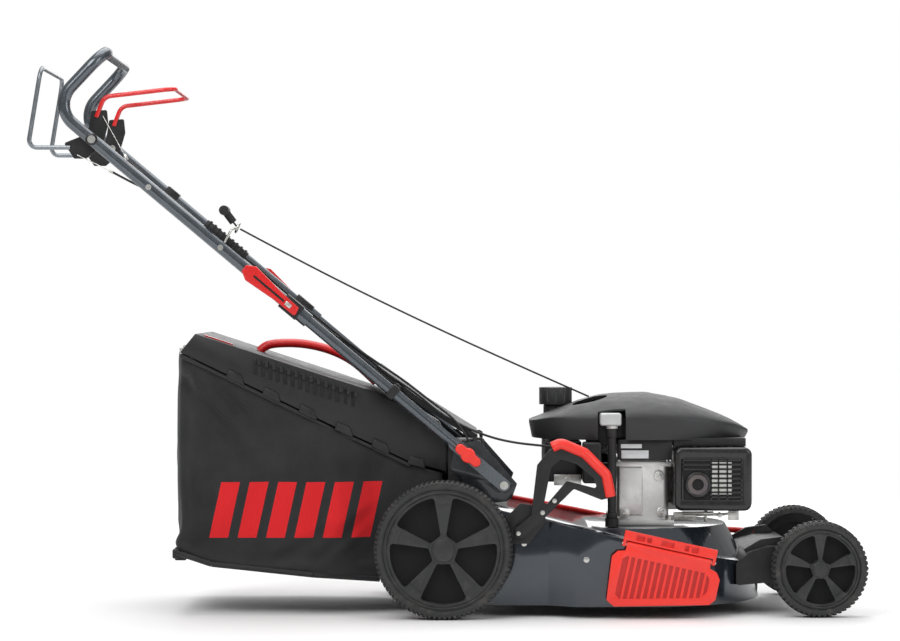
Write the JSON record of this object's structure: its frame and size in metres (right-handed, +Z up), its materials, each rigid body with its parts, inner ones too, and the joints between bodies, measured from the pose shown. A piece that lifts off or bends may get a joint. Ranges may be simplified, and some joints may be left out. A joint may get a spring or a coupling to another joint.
{
  "type": "push lawn mower",
  "caption": "Walk-behind petrol lawn mower: steel deck with side flap, vertical-shaft engine, folding telescopic handle with two bails, rear grass bag.",
  "frame": {"origin": "on the floor under the middle of the whole mower", "axes": "+X forward, away from the user; +Y to the mower's left; +Z up"},
  "size_m": [1.7168, 0.57, 1.1646],
  "materials": {
    "deck_paint": "gloss metallic paint",
    "frame_paint": "semi-gloss",
    "tube_paint": "gloss metallic anthracite",
    "black_plastic": "moulded, fine grain",
    "cover_plastic": "satin",
    "guard_plastic": "satin black enamel",
    "muffler_steel": "heat tinted",
    "cast_alloy": "as cast",
    "machined_steel": "turned",
    "zinc": "zinc plated",
    "blade_steel": "black paint, ground edges",
    "ceramic": "boot",
    "belt_rubber": "matt",
    "cable_sheath": "smooth",
    "rope_fibre": "braided",
    "red_plastic": "moulded, satin",
    "deep_red": "moulded",
    "red_bail": "coated rod",
    "grey_bail": "coated rod",
    "plate_black": "satin",
    "dipstick_grey": "satin",
    "bag_cloth": "woven polyester",
    "tyre_rubber": "moulded tread",
    "rim_plastic": "moulded"
  },
  "bodies": {
    "chassis": {"deck_shell": "deck_paint", "front_apron": "black_plastic", "handle_brackets": "frame_paint", "rear_housing": "black_plastic", "height_quadrant": "black_plastic", "crankcase": "cast_alloy", "engine_cover": "cover_plastic", "fuel_tank": "black_plastic", "oil_fill_tube": "black_plastic", "muffler": "muffler_steel", "muffler_guard": "guard_plastic", "air_intake": "black_plastic", "spark_plug": "ceramic", "chassis_bolts": "zinc", "side_flap_bracket": "red_plastic", "drive_belt": "belt_rubber", "starter_rope": "rope_fibre", "drive_cable": "cable_sheath", "brake_cable": "cable_sheath"},
    "rear_axle": {"rear_axle_frame": "frame_paint", "gearbox": "cast_alloy"},
    "drive_shaft": {"drive_shaft": "machined_steel"},
    "gear_pulley": {"gearbox_pulley": "machined_steel"},
    "front_axle": {"front_axle_frame": "frame_paint"},
    "cutter": {"crankshaft": "machined_steel", "flywheel": "cast_alloy", "blade_adapter": "machined_steel", "blade": "blade_steel", "blade_bolt": "zinc"},
    "height_lever": {"height_lever": "black_plastic", "height_grip": "red_plastic"},
    "lower_handle": {"lower_handle": "tube_paint"},
    "upper_handle": {"upper_handle": "tube_paint", "handle_bolts": "zinc", "clamp_saddles": "black_plastic", "rope_guide": "zinc"},
    "drive_bail": {"drive_bail": "grey_bail", "drive_bail_plates": "plate_black"},
    "brake_bail": {"brake_bail": "red_bail", "brake_bail_plates": "plate_black"},
    "starter_grip": {"starter_grip": "black_plastic"},
    "rear_flap": {"rear_flap": "black_plastic"},
    "side_flap": {"side_flap": "red_plastic"},
    "grass_bag": {"bag_fabric": "bag_cloth", "bag_top": "black_plastic", "bag_handle": "deep_red"},
    "fuel_cap": {"fuel_cap": "cover_plastic"},
    "dipstick": {"dipstick": "dipstick_grey"},
    "wing_knob_right": {"wing_knob_right": "red_plastic"},
    "quick_release_right": {"quick_release_right": "deep_red"},
    "rear_wheel_right": {"rear_tyre_right": "tyre_rubber", "rear_rim_right": "rim_plastic"},
    "front_wheel_right": {"front_tyre_right": "tyre_rubber", "front_rim_right": "rim_plastic"},
    "wing_knob_left": {"wing_knob_left": "red_plastic"},
    "quick_release_left": {"quick_release_left": "deep_red"},
    "rear_wheel_left": {"rear_tyre_left": "tyre_rubber", "rear_rim_left": "rim_plastic"},
    "front_wheel_left": {"front_tyre_left": "tyre_rubber", "front_rim_left": "rim_plastic"}
  },
  "joints": [
    {"name": "cutter_spin", "type": "hinge", "parent": "chassis", "child": "cutter", "pos_m": [0.39543, 0, 0.1], "axis": [0, 0, 1], "continuous": true},
    {"name": "gear_pulley_spin", "type": "hinge", "parent": "rear_axle", "child": "gear_pulley", "pos_m": [0.03044, 0.06, 0.09], "axis": [0, 0, 1], "continuous": true},
    {"name": "drive_shaft_spin", "type": "hinge", "parent": "rear_axle", "child": "drive_shaft", "pos_m": [-0.00307, 0, 0.14], "axis": [0, 1, 0], "continuous": true},
    {"name": "height_adjust", "type": "hinge", "parent": "chassis", "child": "height_lever", "pos_m": [0.14844, -0.245, 0.172], "axis": [0, 1, 0], "range_deg": [-24, 8]},
    {"name": "rear_lift", "type": "hinge", "parent": "chassis", "child": "rear_axle", "pos_m": [0.05044, 0, 0.14], "axis": [0, 1, 0], "range_deg": [-5.7, 16.9], "deforming": ["drive_belt", "drive_cable"]},
    {"name": "front_lift", "type": "hinge", "parent": "chassis", "child": "front_axle", "pos_m": [0.72044, 0, 0.118], "axis": [0, 1, 0], "range_deg": [-21.1, 7.1]},
    {"name": "handle_fold", "type": "hinge", "parent": "chassis", "child": "lower_handle", "pos_m": [0.12044, 0, 0.266], "axis": [0, 1, 0], "range_deg": [0, 125], "deforming": ["starter_rope", "drive_cable", "brake_cable"]},
    {"name": "handle_telescope", "type": "slide", "parent": "lower_handle", "child": "upper_handle", "axis": [-0.766, 0, 0.6428], "range_m": [-0.15, 0], "deforming": ["starter_rope", "drive_cable", "brake_cable"]},
    {"name": "drive_bail_squeeze", "type": "hinge", "parent": "upper_handle", "child": "drive_bail", "pos_m": [-0.71992, 0, 0.97114], "axis": [0, 1, 0], "range_deg": [0, 37], "stiffness_Nm_per_rad": 1, "springref_deg": -20.05, "deforming": ["drive_cable"]},
    {"name": "brake_bail_squeeze", "type": "hinge", "parent": "upper_handle", "child": "brake_bail", "pos_m": [-0.71992, 0, 0.97114], "axis": [0, 1, 0], "range_deg": [-35, 0], "stiffness_Nm_per_rad": 1, "springref_deg": 20.05, "deforming": ["brake_cable"]},
    {"name": "starter_pull", "type": "slide", "parent": "upper_handle", "child": "starter_grip", "axis": [-0.6, 0, 0.8], "range_m": [0, 0.25], "stiffness_N_per_m": 30, "springref_m": -0.05, "deforming": ["starter_rope"]},
    {"name": "rear_flap_open", "type": "hinge", "parent": "chassis", "child": "rear_flap", "pos_m": [0.06843, 0, 0.352], "axis": [0, 1, 0], "range_deg": [0, 28]},
    {"name": "side_flap_open", "type": "hinge", "parent": "chassis", "child": "side_flap", "pos_m": [0.35844, -0.267, 0.154], "axis": [0.9767, 0, -0.2146], "range_deg": [-80, 0]},
    {"name": "bag_lift_off", "type": "slide", "parent": "chassis", "child": "grass_bag", "axis": [-1, 0, 0], "range_m": [0, 0.3]},
    {"name": "fuel_cap_turn", "type": "hinge", "parent": "chassis", "child": "fuel_cap", "pos_m": [0.23544, 0.085, 0.43], "axis": [0, 0, 1], "range_deg": [0, 120]},
    {"name": "dipstick_pull", "type": "slide", "parent": "chassis", "child": "dipstick", "axis": [0, 0, 1], "range_m": [0, 0.15]},
    {"name": "wing_knob_right_turn", "type": "hinge", "parent": "lower_handle", "child": "wing_knob_right", "pos_m": [0.04689, -0.195, 0.32771], "axis": [0, 1, 0], "continuous": true},
    {"name": "quick_release_right_open", "type": "hinge", "parent": "upper_handle", "child": "quick_release_right", "pos_m": [-0.31315, -0.195, 0.62982], "axis": [0, 1, 0], "range_deg": [0, 90]},
    {"name": "rear_wheel_right_spin", "type": "hinge", "parent": "drive_shaft", "child": "rear_wheel_right", "pos_m": [-0.00307, 0, 0.14], "axis": [0, 1, 0], "continuous": true},
    {"name": "front_wheel_right_spin", "type": "hinge", "parent": "front_axle", "child": "front_wheel_right", "pos_m": [0.76094, 0, 0.0975], "axis": [0, 1, 0], "continuous": true},
    {"name": "wing_knob_left_turn", "type": "hinge", "parent": "lower_handle", "child": "wing_knob_left", "pos_m": [0.04689, 0.195, 0.32771], "axis": [0, 1, 0], "continuous": true},
    {"name": "quick_release_left_open", "type": "hinge", "parent": "upper_handle", "child": "quick_release_left", "pos_m": [-0.31315, 0.195, 0.62982], "axis": [0, 1, 0], "range_deg": [0, 90]},
    {"name": "rear_wheel_left_spin", "type": "hinge", "parent": "drive_shaft", "child": "rear_wheel_left", "pos_m": [-0.00307, 0, 0.14], "axis": [0, 1, 0], "continuous": true},
    {"name": "front_wheel_left_spin", "type": "hinge", "parent": "front_axle", "child": "front_wheel_left", "pos_m": [0.76094, 0, 0.0975], "axis": [0, 1, 0], "continuous": true}
  ],
  "couplings": [
    {"joint": "gear_pulley_spin", "follows": "cutter_spin", "ratio": 0.57143},
    {"joint": "rear_lift", "follows": "height_adjust", "ratio": -0.7},
    {"joint": "front_lift", "follows": "height_adjust", "ratio": 0.875}
  ]
}
